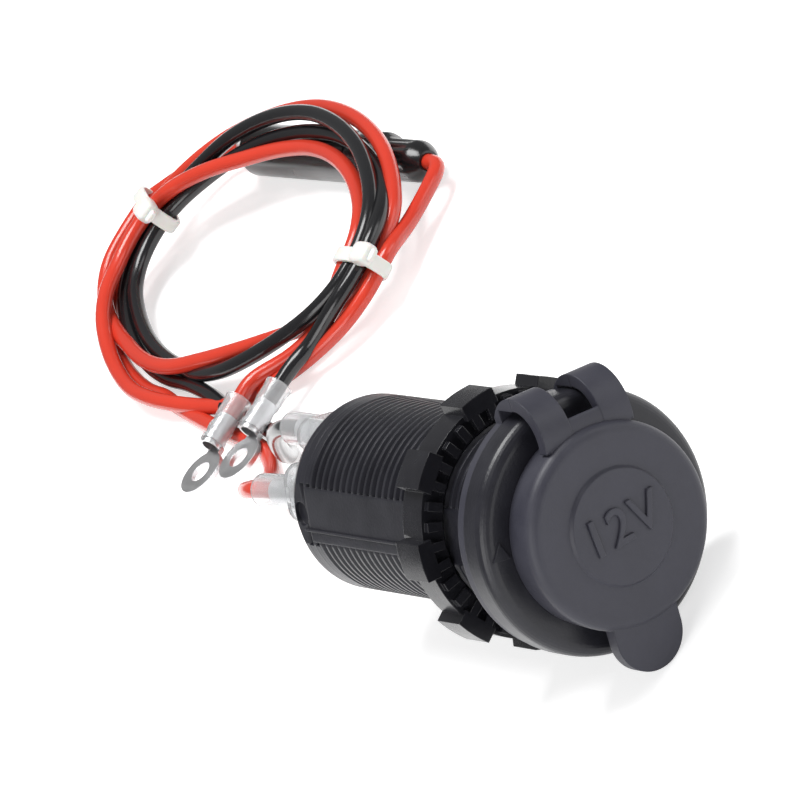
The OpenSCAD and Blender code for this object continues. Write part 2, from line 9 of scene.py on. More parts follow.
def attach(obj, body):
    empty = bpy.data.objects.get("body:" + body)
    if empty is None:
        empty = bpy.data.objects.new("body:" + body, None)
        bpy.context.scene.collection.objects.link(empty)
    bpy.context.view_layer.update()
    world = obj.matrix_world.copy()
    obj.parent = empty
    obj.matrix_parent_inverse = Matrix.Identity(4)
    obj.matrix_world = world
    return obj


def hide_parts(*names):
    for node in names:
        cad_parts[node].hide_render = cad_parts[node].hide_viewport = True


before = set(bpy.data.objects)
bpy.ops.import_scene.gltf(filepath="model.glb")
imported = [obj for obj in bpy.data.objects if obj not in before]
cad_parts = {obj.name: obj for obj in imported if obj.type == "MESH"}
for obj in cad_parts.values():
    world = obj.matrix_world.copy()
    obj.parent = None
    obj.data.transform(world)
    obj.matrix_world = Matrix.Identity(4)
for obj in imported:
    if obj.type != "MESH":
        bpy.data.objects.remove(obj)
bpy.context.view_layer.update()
MM = 0.001

# Sizes that the solids have too, in millimetres and radians
FLOOR_Z = -19.3
LEAD_D = 2.6
HANK_HALF_W, HANK_HALF_L, HANK_END_R, HANK_BAND = 27.0, 41.0, 19.0, 9.0
HANK_EDGE_X, HANK_Y, HANK_LEAN = 21.3, 163.0, math.radians(10.3)
HANK_H = 2 * LEAD_D
HANK_END_Y = HANK_HALF_L - HANK_END_R
HANK_SIDE_R = (HANK_HALF_W**2 + HANK_END_Y**2 - HANK_END_R**2) / (2 * (HANK_HALF_W - HANK_END_R))
HANK_MEET = math.asin(HANK_END_Y / (HANK_SIDE_R - HANK_END_R))
HOLDER_X, HOLDER_Y, HOLDER_Z = 69.85, 135.0, -15.0
HINGE_TURN, FLAT_TURN = math.radians(-31), math.radians(52)
CAP_DISC_Z = 13.5
ARCH_Y, ARCH_Z, ARCH_R, STRAP_T, STRAP_GAP = 14.6, 5.4, 6.3, 1.8, 5.2
TERMINAL_Z = FLOOR_Z + LEAD_D + 2.1
RED_TERMINAL = (21.4, 139.0, math.radians(188))
BLACK_TERMINAL = (25.0, 130.6, math.radians(186))
TIE_FAR_X = 33.0


# Camera and stage
def make_camera():
    """A long lens at the photograph's viewing angle, rolled with the picture."""
    data = bpy.data.cameras.new("camera")
    data.sensor_width, data.lens = 36.0, 361.8
    data.clip_start, data.clip_end = 0.05, 20.0
    obj = bpy.data.objects.new("camera", data)
    bpy.context.scene.collection.objects.link(obj)
    right = Vector((0.5615, -0.5071, -0.6539))
    up = Vector((0.7810, 0.0637, 0.6212))
    back = Vector((-0.2734, -0.8595, 0.4318))
    place = Matrix.Translation((-0.3062, -0.9479, 0.5088))
    obj.matrix_world = place @ Matrix((right, up, back)).transposed().to_4x4()
    bpy.context.scene.camera = obj


make_camera()


# Meshes from grids of points
def surface(name, grid, loop=False):
    """A mesh through an n by m by 3 grid of points in millimetres.

    Rows run along the piece and columns go round it. Its two ends are closed,
    or meet each other in a loop."""
    n, m = grid.shape[:2]
    i = np.arange(n if loop else n - 1)[:, None]
    j = np.arange(m)[None, :]
    k, below = (j + 1) % m, (i + 1) % n
    quads = np.stack([i * m + j, i * m + k, below * m + k, below * m + j], -1).reshape(-1, 4)
    faces = quads[:, ::-1].tolist()
    if not loop:
        faces.append(list(range(m)))
        faces.append(list(range(n * m - 1, (n - 1) * m - 1, -1)))
    mesh = bpy.data.meshes.new(name)
    mesh.from_pydata((grid.reshape(-1, 3) * MM).tolist(), [], faces)
    mesh.update()
    mesh.polygons.foreach_set("use_smooth", np.full(len(faces), True))
    obj = bpy.data.objects.new(name, mesh)
    bpy.context.scene.collection.objects.link(obj)
    return obj


def tune_normals(obj, angle=35.0):
    """Turns every face outwards and keeps edges sharper than the angle crisp."""
    bpy.context.view_layer.objects.active = obj
    obj.select_set(True)
    bpy.ops.object.mode_set(mode="EDIT")
    bpy.ops.mesh.select_all(action="SELECT")
    bpy.ops.mesh.normals_make_consistent(inside=False)
    bpy.ops.object.mode_set(mode="OBJECT")
    obj.data.set_sharp_from_angle(angle=math.radians(angle))
    obj.select_set(False)
    return obj


def joined(name, parts):
    """Several meshes made one piece, in the order given."""
    bpy.ops.object.select_all(action="DESELECT")
    for part in parts:
        part.select_set(True)
    bpy.context.view_layer.objects.active = parts[0]
    bpy.ops.object.join()
    parts[0].name = name
    parts[0].data.name = name
    parts[0].select_set(False)
    return parts[0]


# Lines in space
def spline(points, step=0.8, span_points=12):
    """Even points along a Catmull-Rom curve through the given ones.

    Each span is the cubic that leaves a point along its neighbours' chord."""
    p = np.asarray(points, float)
    ext = np.vstack([2 * p[0] - p[1], p, 2 * p[-1] - p[-2]])
    t = np.linspace(0, 1, span_points, endpoint=False)[:, None, None]
    a, b, c, d = ext[None, :-3], ext[None, 1:-2], ext[None, 2:-1], ext[None, 3:]
    span = 0.5 * (2 * b + (c - a) * t + (2 * a - 5 * b + 4 * c - d) * t**2 + (3 * b - a - 3 * c + d) * t**3)
    line = np.vstack([span.transpose(1, 0, 2).reshape(-1, 3), p[-1:]])
    return even(line, step)


def run_along(line):
    """The distance along the line from its start to each of its points."""
    return np.concatenate([[0], np.cumsum(np.linalg.norm(np.diff(line, axis=0), axis=1))])


def even(line, step):
    """The same line with its points a fixed step apart."""
    run = run_along(line)
    s = np.linspace(0, run[-1], max(8, int(round(run[-1] / step))))
    return np.stack([np.interp(s, run, line[:, k]) for k in range(3)], -1)


def relaxed(line, window):
    """The line with each point at the mean of its neighbours within the window, and its two ends kept."""
    kernel = np.hanning(window + 2)[1:-1]
    kernel /= kernel.sum()
    half = window // 2
    padded = np.vstack([2 * line[0] - line[half:0:-1], line, 2 * line[-1] - line[-2:-half - 2:-1]])
    out = np.stack([np.convolve(padded[:, k], kernel, mode="valid") for k in range(3)], -1)
    out[0], out[-1] = line[0], line[-1]
    return out


def frames_along(line):
    """Tangent, side and up at each point, where the side turns as little as it can from point to point."""
    tangent = np.gradient(line, axis=0)
    tangent /= np.linalg.norm(tangent, axis=1, keepdims=True)
    side = np.cross(tangent, np.array([0.0, 0.0, 1.0]))
    # Where the line runs nearly upright, its side is taken from X instead
    weak = np.linalg.norm(side, axis=1) < 0.2
    side[weak] = np.cross(tangent[weak], np.array([1.0, 0.0, 0.0]))
    side /= np.linalg.norm(side, axis=1, keepdims=True)
    for i in range(1, len(side)):
        s = side[i - 1] - tangent[i] * np.dot(side[i - 1], tangent[i])
        side[i] = s / np.linalg.norm(s)
    return tangent, side, np.cross(side, tangent)


def tube_along(name, line, radius, sides=20):
    """A round tube: at each point of the line, a circle of the radius in the plane across it."""
    _, side, up = frames_along(line)
    a = np.linspace(0, 2 * np.pi, sides, endpoint=False)
    ring = np.cos(a)[None, :, None] * side[:, None] + np.sin(a)[None, :, None] * up[:, None]
    obj = surface(name, line[:, None] + radius * ring)
    add_run_uv(obj, line, sides)
    return obj


def add_run_uv(obj, line, sides):
    """UV map of a tube: U is the way round it, and V the distance along it in centimetres."""
    run = run_along(line) / 10
    n = len(line)
    i = np.repeat(np.arange(n - 1), sides)
    j = np.tile(np.arange(sides), n - 1)
    u0, u1, v0, v1 = j / sides, (j + 1) / sides, run[i], run[i + 1]
    corners = ((u0, v1), (u1, v1), (u1, v0), (u0, v0))
    quad = np.stack([np.stack(corner, -1) for corner in corners], 1)
    uv = np.zeros((len(obj.data.loops), 2))
    uv[:len(quad) * 4] = quad.reshape(-1, 2)
    layer = obj.data.uv_layers.new(name="run")
    layer.data.foreach_set("uv", uv.ravel())


# Leads
RED_SOCKET = [
    (-5.4, 62.5, 5.5), (-6.4, 70.5, 6.3), (-6.6, 75, 6), (-5.4, 81, 3.7), (-3, 88, 0), (0, 95, -4.2),
    (2.8, 102, -8.4), (5.6, 109, -12.4), (8.6, 116, -15.8), (12, 122, -17.6), (15, 128, -18),
    (16.3, 133.6, -18), (17, 139.4, -18), (17.8, 145.2, -18), (18.7, 151, -18),
    (19.8, 157, -18), (21, 163, -17.9), (22.2, 168, -17.6)]
BLACK_SOCKET = [
    (3.7, 62.5, 8), (3.7, 70.5, 8), (3.8, 75, 7.6), (4.4, 81, 5.4), (5.6, 88, 1.6), (7.2, 95, -2.9),
    (9, 102, -7.6), (11, 108.6, -11.8), (13.2, 114.6, -15.2), (15.4, 120, -17.4), (17.3, 125, -18),
    (18.7, 130.4, -18), (19.7, 136, -18), (20.6, 142, -18), (21.8, 148, -17.8), (23.4, 154, -17.4)]
RED_SUPPLY = [(25.6, 139.5, -14.7), (21.4, 139, -14.6), (16.5, 138.3, -14.6)]
BLACK_SUPPLY = [(33.2, 129.8, -14.5), (29.2, 130.9, -14.6), (25, 130.6, -14.6), (20.1, 130.1, -14.6)]
FUSE_FAR = [
    (54, 202.9, -10.6), (57.8, 202.9, -11.6), (61.6, 202.5, -12.7), (65.2, 201.6, -13.8), (68, 199.8, -14.6),
    (69.5, 197.4, -15), (HOLDER_X, 194.5, HOLDER_Z), (HOLDER_X, 186, HOLDER_Z), (HOLDER_X, 178.5, HOLDER_Z)]
FUSE_NEAR = [
    (HOLDER_X, 141.5, HOLDER_Z), (HOLDER_X, 138, HOLDER_Z), (HOLDER_X, 133.8, HOLDER_Z),
    (69.3, 131.6, -15), (67, 130.2, -14.9), (63.4, 128.9, -14.8), (58.8, 127.2, -14.5), (54.8, 125.3, -13.7)]

# Where each lead lies in the hank: turns round it from the middle of its left side,
# inset from its outer edge, and height over its underside
RED_TURNS = [
    (0.05, 0.7, 1.4), (0.15, 0.3, 1.3), (0.285, 0.9, 1.3), (0.36, 0.4, 1.9), (0.5, 0.3, 2.1),
    (0.62, 0.8, 1.8), (0.68, 1.8, 1.4), (0.72, 3.2, 1.3), (0.76, 3.9, 1.3), (0.8, 5.0, 1.3),
    (0.84, 6.8, 1.5), (0.88, 7.6, 2.6), (0.93, 7.6, 3.8), (0.98, 6.6, 4.0), (1.02, 5.0, 4.1),
    (1.06, 4.3, 4.0), (1.1, 4.1, 3.8), (1.14, 2.9, 3.4), (1.18, 1.6, 3.5), (1.22, 1.0, 3.7),
    (1.262, 0.8, 3.7)]
BLACK_TURNS = [
    (0.0, 3.9, 1.3), (0.15, 3.9, 1.3), (0.285, 3.9, 1.3), (0.33, 3.4, 1.8), (0.38, 2.8, 3.2),
    (0.43, 2.6, 4.1), (0.5, 2.5, 4.4), (0.62, 3.5, 4.1), (0.72, 5.1, 4.0), (0.8, 5.3, 4.0),
    (0.88, 4.9, 3.9), (0.93, 4.4, 3.6), (0.98, 5.2, 2.4), (1.03, 6.5, 1.4), (1.15, 6.7, 1.5),
    (1.285, 6.8, 1.6), (1.33, 6.0, 1.3), (1.38, 5.2, 1.3), (1.43, 4.7, 1.4), (1.5, 4.4, 1.4),
    (1.62, 3.6, 1.2), (1.68, 3.2, 2.6), (1.72, 2.7, 3.9), (1.78, 2.7, 3.9), (1.805, 1.6, 4.0)]
SUPPLY_TURNS = [
    (0.735, 0.9, 1.3), (0.76, 1.1, 1.3), (0.82, 0.4, 1.3), (0.88, -0.8, 1.3), (0.93, -1.2, 1.3),
    (0.97, -0.4, 2.4), (1.0, -0.6, 3.7), (1.06, -0.6, 4.0), (1.1, 0.4, 4.4), (1.14, 2.0, 5.6),
    (1.18, 3.9, 5.3), (1.22, 4.8, 4.2), (1.27, 4.9, 3.9), (1.32, 5.8, 3.9), (1.36, 7.0, 3.7),
    (1.4, 7.7, 2.6), (1.45, 7.6, 1.7), (1.5, 7.4, 1.6), (1.62, 7.6, 2.4), (1.7, 7.7, 3.6),
    (1.77, 7.6, 3.6), (1.8, 7.0, 2.2), (1.82, 5.4, 1.4), (1.845, 3.4, 1.3), (1.865, 1.3, 2.4),
    (1.88, -0.4, 3.6)]

# Step of a turn at which the lanes are worked out, every how many of those steps the spline
# takes a point, and how many of its points ease one another
TURN_STEP, TURN_STRIDE, EASE_WINDOW = 0.008, 4, 7


def in_hank(x, y, h):
    """World points of the hank's own plane, which leans about its left edge on the floor."""
    c, s = math.cos(HANK_LEAN), math.sin(HANK_LEAN)
    return np.stack([HANK_EDGE_X + x * c - h * s, HANK_Y + y, FLOOR_Z + x * s + h * c], -1)


def hank_turns(lanes):
    """A lead's line round the hank's oval of two side arcs and two end arcs.

    The angle runs evenly along each arc, the radius is the arc's less the lead's inset,
    and its height lifts it."""
    lanes = np.asarray(lanes, float)
    u = np.arange(lanes[0, 0], lanes[-1, 0], TURN_STEP)
    inset, height = (np.interp(u, lanes[:, 0], lanes[:, k]) for k in (1, 2))
    half_side, end = HANK_SIDE_R * HANK_MEET, HANK_END_R * (math.pi - 2 * HANK_MEET)
    knots = np.cumsum([0, half_side, end, 2 * half_side, end, half_side])
    knots /= knots[-1]
    t = np.mod(u, 1)
    meet = math.pi - HANK_MEET
    angle = np.interp(t, knots, [math.pi, meet, HANK_MEET, -HANK_MEET, -meet, -math.pi])
    arc = np.clip(np.searchsorted(knots, t, side="right") - 1, 0, 4)
    far_centre = HANK_HALF_W - HANK_SIDE_R
    centre_x = np.array([HANK_SIDE_R, HANK_HALF_W, HANK_HALF_W + far_centre, HANK_HALF_W, HANK_SIDE_R])[arc]
    centre_y = np.array([0, HANK_END_Y, 0, -HANK_END_Y, 0])[arc]
    r = np.array([HANK_SIDE_R, HANK_END_R, HANK_SIDE_R, HANK_END_R, HANK_SIDE_R])[arc] - inset
    return in_hank(centre_x + r * np.cos(angle), centre_y + r * np.sin(angle), height)


def lead_line(start, lanes, end):
    """A whole lead: its first stretch, its turns in the hank and its last stretch, as one easy curve."""
    turns = hank_turns(lanes)[::TURN_STRIDE]
    parts = [np.asarray(part, float) for part in (start, turns, end) if len(part)]
    return relaxed(spline(np.vstack(parts)), EASE_WINDOW)


lead_pieces = {}
for piece, start, lanes, end in (
        ("red_lead", RED_SOCKET, RED_TURNS, FUSE_FAR),
        ("black_lead", BLACK_SOCKET, BLACK_TURNS, BLACK_SUPPLY),
        ("red_supply", FUSE_NEAR, SUPPLY_TURNS, RED_SUPPLY)):
    line = lead_line(start, lanes, end)
    lead_pieces[piece] = (tube_along(piece, line, LEAD_D / 2), line)
    print(piece, "length", round(float(run_along(line)[-1]), 1), "mm")


# Materials
class Finish:
    """A new material whose looks are put together by short calls, each adding nodes before its shader."""

    def __init__(self, name):
        self.material = bpy.data.materials.new(name)
        self.material.use_nodes = True
        self.nodes = self.material.node_tree.nodes
        self.link = self.material.node_tree.links.new
        self.shader = self.nodes["Principled BSDF"]

    def add(self, kind, **values):
        """A node with the given inputs and settings."""
        node = self.nodes.new(kind)
        for key, value in values.items():
            if key in node.inputs:
                node.inputs[key].default_value = value
            else:
                setattr(node, key, value)
        return node

    def coordinates(self, space, scale=None):
        """Object coordinates or the piece's UV map, stretched where a scale is given."""
        output = self.add("ShaderNodeTexCoord").outputs[space]
        if scale is None:
            return output
        mapping = self.add("ShaderNodeMapping", Scale=scale)
        self.link(output, mapping.inputs["Vector"])
        return mapping.outputs["Vector"]

    def noise(self, where, **values):
        """A noise texture over the coordinates."""
        texture = self.add("ShaderNodeTexNoise", **values)
        self.link(where, texture.inputs["Vector"])
        return texture.outputs["Fac"]

    def moved(self, factor, before=(0.0, 1.0), after=(0.0, 1.0)):
        """The factor moved from the span before to the span after."""
        node = self.add("ShaderNodeMapRange")
        for socket, value in zip(("From Min", "From Max", "To Min", "To Max"), (*before, *after)):
            node.inputs[socket].default_value = value
        self.link(factor, node.inputs["Value"])
        return node.outputs["Result"]

    def colours(self, factor, first, second):
        """The base colour runs from the first colour to the second with the factor."""
        mix = self.add("ShaderNodeMix", data_type="RGBA")
        mix.inputs["A"].default_value = (*first, 1)
        mix.inputs["B"].default_value = (*second, 1)
        self.link(factor, mix.inputs["Factor"])
        self.link(mix.outputs["Result"], self.shader.inputs["Base Color"])

    def gloss(self, factor, low, high, before=(0.0, 1.0)):
        """The roughness runs from low to high with the factor."""
        self.link(self.moved(factor, before, (low, high)), self.shader.inputs["Roughness"])

    def bump(self, height, strength, distance, edge=None):
        """Bumps in the surface, whose edges are rounded as well where their radius is given."""
        node = self.add("ShaderNodeBump", Strength=strength, Distance=distance)
        self.link(height, node.inputs["Height"])
        if edge is not None:
            rounded = self.add("ShaderNodeBevel", Radius=edge, samples=6)
            self.link(rounded.outputs["Normal"], node.inputs["Normal"])
        self.link(node.outputs["Normal"], self.shader.inputs["Normal"])

    def settle(self, **values):
        """Values on the shader's own sockets, whose names have a space for each underscore."""
        for key, value in values.items():
            self.shader.inputs[key.replace("_", " ")].default_value = value


def moulded(name, colour, worn, rough, grain=2600.0, depth=0.00004, edge=0.00018, specular=0.5):
    """Moulded plastic or rubber: a fine grain, cloudy changes of colour and gloss, and rounded edges."""
    finish = Finish(name)
    space = finish.coordinates("Object")
    fine = finish.noise(space, Scale=grain, Detail=3.0, Roughness=0.6)
    cloud = finish.noise(space, Scale=130.0, Detail=4.0, Roughness=0.55)
    finish.colours(finish.moved(cloud, (0.35, 0.7)), colour, worn)
    finish.gloss(cloud, rough - 0.05, rough + 0.07, (0.3, 0.7))
    finish.bump(fine, 0.35, depth, edge)
    finish.settle(Specular_IOR_Level=specular)
    return finish.material


def insulation(name, colour, deep, rough):
    """Glossy wire insulation: a faint lay of the strands along it, with slow changes of colour."""
    finish = Finish(name)
    lay = finish.noise(finish.coordinates("UV", (6.0, 1.2, 1.0)), Scale=3.0, Detail=3.0)
    slow = finish.noise(finish.coordinates("Object"), Scale=60.0, Detail=3.0)
    finish.colours(slow, colour, deep)
    finish.gloss(lay, rough - 0.06, rough + 0.08)
    finish.bump(lay, 0.25, 0.00008)
    finish.settle(Specular_IOR_Level=0.5, Coat_Weight=0.08, Coat_Roughness=0.08)
    return finish.material


def plated(name, colour, dull, rough):
    """Plated or rolled metal: fine streaks in the gloss and a few dull patches."""
    finish = Finish(name)
    streak = finish.noise(finish.coordinates("Object", (1.0, 0.12, 1.0)), Scale=900.0, Detail=4.0)
    patch = finish.noise(finish.coordinates("Object"), Scale=260.0, Detail=2.0)
    finish.colours(finish.moved(patch, (0.4, 0.75)), colour, dull)
    finish.gloss(streak, rough - 0.08, rough + 0.12)
    finish.bump(streak, 0.2, 0.00003, 0.00012)
    finish.settle(Metallic=1.0)
    return finish.material


def clear(name, colour, rough, through=0.95):
    """Clear vinyl or glass, with a slight haze that comes and goes."""
    finish = Finish(name)
    haze = finish.noise(finish.coordinates("Object"), Scale=320.0, Detail=3.0)
    finish.gloss(haze, max(0.02, rough - 0.06), rough + 0.08)
    finish.bump(haze, 0.2, 0.0001)
    finish.settle(Base_Color=(*colour, 1), Transmission_Weight=through, IOR=1.42)
    return finish.material


def nylon(name):
    """Natural nylon: milky, a little light let in under the surface, with a fine moulded grain."""
    finish = Finish(name)
    space = finish.coordinates("Object")
    grain = finish.noise(space, Scale=1500.0, Detail=3.0)
    cloud = finish.noise(space, Scale=200.0, Detail=2.0)
    finish.colours(cloud, (0.83, 0.83, 0.8), (0.76, 0.76, 0.72))
    finish.bump(grain, 0.2, 0.00004)
    finish.settle(Roughness=0.32, Subsurface_Weight=0.25, Subsurface_Scale=0.0015)
    return finish.material


housing_plastic = moulded("housing_plastic", (0.014, 0.014, 0.019), (0.023, 0.023, 0.030), 0.32, grain=2200.0,
                          depth=0.00008, specular=0.38)
nut_plastic = moulded("nut_plastic", (0.011, 0.011, 0.014), (0.018, 0.018, 0.022), 0.24, grain=2400.0,
                      specular=0.4)
cap_rubber = moulded("cap_rubber", (0.033, 0.033, 0.046), (0.044, 0.044, 0.059), 0.46, grain=1500.0,
                     depth=0.00007, edge=0.0003, specular=0.4)
holder_plastic = moulded("holder_plastic", (0.010, 0.010, 0.011), (0.016, 0.016, 0.018), 0.22, grain=2400.0)
phenolic = moulded("phenolic", (0.06, 0.035, 0.02), (0.09, 0.05, 0.03), 0.45)
red_insulation = insulation("red_insulation", (0.70, 0.055, 0.028), (0.56, 0.036, 0.018), 0.2)
black_insulation = insulation("black_insulation", (0.008, 0.008, 0.009), (0.014, 0.014, 0.016), 0.18)
nickel_plate = plated("nickel_plate", (0.66, 0.66, 0.66), (0.5, 0.5, 0.5), 0.28)
tin_plate = plated("tin_plate", (0.80, 0.80, 0.81), (0.66, 0.66, 0.67), 0.34)
brass = plated("brass", (0.72, 0.52, 0.24), (0.55, 0.38, 0.17), 0.3)
clear_vinyl = clear("clear_vinyl", (0.96, 0.97, 0.98), 0.14, through=0.8)
fuse_glass = clear("fuse_glass", (0.95, 0.98, 0.97), 0.05)
natural_nylon = nylon("natural_nylon")

NODE_FINISH = {
    "socket_housing": housing_plastic, "contact_sleeve": nickel_plate, "well_insulator": phenolic,
    "centre_contact": brass, "contact_rivet": brass,
    "positive_blade": nickel_plate, "negative_blade": nickel_plate,
    "cap_gasket": cap_rubber, "ring_nut": nut_plastic, "cap": cap_rubber,
    "positive_connector": tin_plate, "negative_connector": tin_plate, "positive_boot": clear_vinyl,
    "negative_boot": clear_vinyl, "red_socket_lead": red_insulation, "black_socket_lead": black_insulation,
    "lead_hank": red_insulation, "red_supply_lead": red_insulation, "black_supply_lead": black_insulation,
    "red_ring_terminal": tin_plate, "black_ring_terminal": tin_plate, "red_ring_sleeve": clear_vinyl,
    "black_ring_sleeve": clear_vinyl, "cable_tie_far": natural_nylon, "cable_tie_near": natural_nylon,
    "red_fuse_lead_far": red_insulation, "red_fuse_lead_near": red_insulation,
    "fuse_holder_body": holder_plastic, "fuse_holder_cap": holder_plastic, "glass_fuse": fuse_glass,
    "fuse_spring": tin_plate, "fuse_contact_far": brass, "fuse_contact_near": brass}
for node, finish in NODE_FINISH.items():
    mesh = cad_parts[node].data
    mesh.materials.clear()
    mesh.materials.append(finish)


# Places on the socket's axis
def socket_place(turn, x=0.0, y=0.0, z=0.0):
    """Matrix in millimetres for a piece on the socket's axis: its +Z is the front.

    The piece is moved first, and then turned about the axis."""
    on_axis = Matrix.Rotation(math.pi / 2, 4, "X")
    return on_axis @ Matrix.Rotation(turn, 4, "Z") @ Matrix.Translation((x, y, z))


def placed(points, place):
    """Grid points put through a matrix in millimetres."""
    m = np.array(place)
    return points @ m[:3, :3].T + m[:3, 3]


# The raised mark's turn against the hinge, and its middle on the cap's disc
NUMERAL_TURN = math.radians(6)
NUMERAL_MIDDLE = (-0.3, 0.1, CAP_DISC_Z + 0.05)


def cap_numerals():
    """The raised voltage mark on the cap's disc: letters 0.4 mm high with their feet in the disc."""
    data = bpy.data.curves.new("cap_numerals", "FONT")
    data.body = "12V"
    data.size, data.extrude, data.bevel_depth, data.offset = 7.6, 0.25, 0.07, 0.02
    data.space_character = 1.08
    data.align_x, data.align_y = "CENTER", "CENTER"
    text = bpy.data.objects.new("cap_numerals_outline", data)
    bpy.context.scene.collection.objects.link(text)
    bpy.context.view_layer.update()
    mesh = bpy.data.meshes.new_from_object(text.evaluated_get(bpy.context.evaluated_depsgraph_get()))
    bpy.data.objects.remove(text)
    mesh.transform(Matrix.Scale(MM, 4) @ socket_place(HINGE_TURN + NUMERAL_TURN, *NUMERAL_MIDDLE))
    obj = bpy.data.objects.new("cap_numerals", mesh)
    bpy.context.scene.collection.objects.link(obj)
    mesh.materials.clear()
    mesh.materials.append(cap_rubber)
    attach(obj, "cap")


cap_numerals()


# Rounded sections and blocks
def squared(wave, power):
    """A sine or cosine raised to a power with its sign kept, which pushes a circle out to its corners."""
    return np.sign(wave) * np.abs(wave)**power


def rounded_outline(half, power=8.0, count=40):
    """Points of a rounded rectangle: the curve whose two powers of distance over half size add up to one."""
    a = np.linspace(0, 2 * np.pi, count, endpoint=False)
    return np.stack([half[0] * squared(np.cos(a), 2 / power), half[1] * squared(np.sin(a), 2 / power)], -1)


def rounded_block(half, power=4.0, rows=20, columns=48):
    """Points of a block with rounded edges.

    It is the superellipsoid whose three powers of distance over half size add up to one."""
    t = np.sin(np.linspace(-0.499 * np.pi, 0.499 * np.pi, rows))
    size = (1 - np.abs(t)**power)**(1 / power)
    a = np.linspace(0, 2 * np.pi, columns, endpoint=False)
    ring_x, ring_y = squared(np.cos(a), 2 / power), squared(np.sin(a), 2 / power)
    return np.stack([half[0] * size[:, None] * ring_x, half[1] * size[:, None] * ring_y,
                     half[2] * t[:, None] + 0 * ring_x], -1)


# Ties: half sizes of head, stub and strap, where the stub sits on the head, and how square the loop is.
# The near tie sits a little left of its solid, as in the photograph.
TIE_NEAR_X = 27.0
TIE_HEAD, TIE_STUB, STUB_SHIFT = (1.8, 2.3, 1.3), (1.1, 0.7, 0.45), (0, -2.5, -0.2)
TIE_HALF_W, TIE_HALF_T, TIE_POWER = 1.25, 0.45, 3.2


def tie_place(x, side):
    """Matrix in millimetres for a tie at x in the hank's plane.

    The tie's own Y points out of the hank's end and its Z up."""
    mid_r = HANK_END_R - HANK_BAND / 2
    turn = math.asin((x - HANK_HALF_W) / mid_r)
    along = side * (HANK_END_Y + mid_r * math.cos(turn))
    in_plane = Matrix.Translation((HANK_EDGE_X, HANK_Y, FLOOR_Z)) @ Matrix.Rotation(-HANK_LEAN, 4, "Y")
    return in_plane @ Matrix.Translation((x, along, HANK_H / 2)) @ Matrix.Rotation(-side * turn, 4, "Z")


def cable_tie(name, x, side, head_y, head_z):
    """A nylon tie drawn tight: a flat strap round a squared oval, with a rounded block on it as its head.

    The strap's middle line is a superellipse about the bundle, and its section is a smaller one
    that stands across it."""
    place = tie_place(x, side)
    a = np.linspace(0, 2 * np.pi, 96, endpoint=False)
    loop_y = (HANK_BAND / 2 + TIE_HALF_T) * squared(np.cos(a), 2 / TIE_POWER)
    loop_z = (HANK_H / 2 + TIE_HALF_T) * squared(np.sin(a), 2 / TIE_POWER)
    line = np.stack([0 * a, loop_y, loop_z], -1)
    tangent = np.roll(line, -1, 0) - np.roll(line, 1, 0)
    tangent /= np.linalg.norm(tangent, axis=1, keepdims=True)
    across = np.array([1.0, 0, 0])
    out = np.cross(tangent, across)
    b = np.linspace(0, 2 * np.pi, 16, endpoint=False)
    flat_x = TIE_HALF_W * squared(np.cos(b), 0.5)
    flat_z = TIE_HALF_T * squared(np.sin(b), 0.5)
    strap = line[:, None] + flat_x[None, :, None] * across + flat_z[None, :, None] * out[:, None]
    lift = np.array([0, head_y, head_z])
    head = rounded_block(TIE_HEAD) + lift
    stub = rounded_block(TIE_STUB) + lift + np.array(STUB_SHIFT)
    parts = [surface(name, placed(strap, place), loop=True)]
    parts += [surface(name, placed(block, place)) for block in (head, stub)]
    tie = tune_normals(joined(name, parts))
    tie.data.materials.append(natural_nylon)
    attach(tie, "socket")
    return tie


far_tie = cable_tie("far_tie", TIE_FAR_X, 1, -4.8, 4.0)
near_tie = cable_tie("near_tie", TIE_NEAR_X, -1, -5.6, 3.7)
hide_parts("cable_tie_far")
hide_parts("cable_tie_near")

# Crimped sleeves: the tube, the tool's two pinches along it, and its flared mouth
SLEEVE_L, SLEEVE_R, SLEEVE_BORE_R, SLEEVE_ROWS = 8.5, 2.08, 1.74, 52
PINCHES, PINCH_SPREAD, PINCH_DEPTH = (4.7, 7.0), 0.75, 0.3
FLARE_RISE, FLARE_SPREAD = 0.18, 0.8


def crimped_sleeve(name, terminal, node):
    """A clear sleeve pinched by the crimping tool: a tube whose wall dips in at two pinches, above and below.

    Rows run out along the outer wall and back along the bore. A pinch is a bell curve along the tube
    times a squared sine round it, and the mouth flares by a bell curve too."""
    x, y, turn = terminal
    place = Matrix.Translation((x, y, TERMINAL_Z)) @ Matrix.Rotation(turn, 4, "Z")
    s = np.concatenate([np.linspace(0, SLEEVE_L, SLEEVE_ROWS), np.linspace(SLEEVE_L, 0, SLEEVE_ROWS)])
    inner = np.arange(2 * SLEEVE_ROWS) >= SLEEVE_ROWS
    a = np.linspace(0, 2 * np.pi, 40, endpoint=False)
    wall = np.where(inner, SLEEVE_BORE_R, SLEEVE_R) + FLARE_RISE * np.exp(-(s / FLARE_SPREAD)**2)
    bells = sum(np.exp(-((s - pinch) / PINCH_SPREAD)**2) for pinch in PINCHES)
    dip = np.where(inner, 0, PINCH_DEPTH) * bells
    r = wall[:, None] - dip[:, None] * np.sin(a)**2
    grid = np.stack([s[:, None] + 0 * a, r * np.cos(a), r * np.sin(a)], -1)
    obj = tune_normals(surface(name, placed(grid, place), loop=True))
    obj.data.materials.append(clear_vinyl)
    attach(obj, "socket")
    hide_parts(node)
    return obj


red_sleeve = crimped_sleeve("red_crimp_sleeve", RED_TERMINAL, "red_ring_sleeve")
black_sleeve = crimped_sleeve("black_crimp_sleeve", BLACK_TERMINAL, "black_ring_sleeve")

